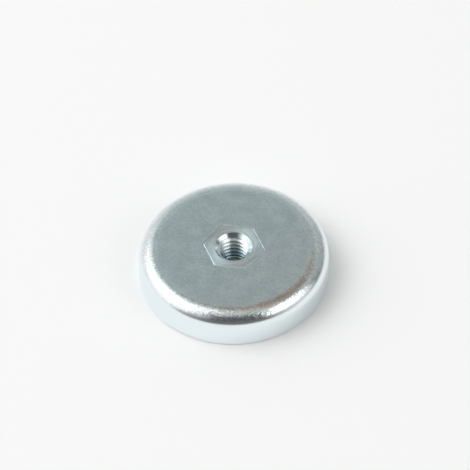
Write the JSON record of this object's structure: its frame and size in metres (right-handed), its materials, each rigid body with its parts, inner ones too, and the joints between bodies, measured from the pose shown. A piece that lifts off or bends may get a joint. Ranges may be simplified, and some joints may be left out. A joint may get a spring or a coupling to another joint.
{
  "type": "pot magnet",
  "caption": "Shallow round pot magnet: drawn steel pot, bonded ferrite ring and a flush hexagonal insert with a through thread for screwing it to a fixture.",
  "frame": {"origin": "centre of the magnetic face, in the plane of the pot's rim", "axes": "+Z along the axis, from the magnetic face out through the closed top; +X through a corner of the hexagon"},
  "size_m": [0.047, 0.047, 0.009],
  "materials": {
    "pot_steel": "satin",
    "insert_steel": "satin",
    "ferrite": "matte",
    "adhesive": "satin"
  },
  "bodies": {
    "root": {"steel_pot": "pot_steel", "threaded_insert": "insert_steel", "ferrite_ring": "ferrite", "adhesive_bead": "adhesive"}
  },
  "joints": []
}
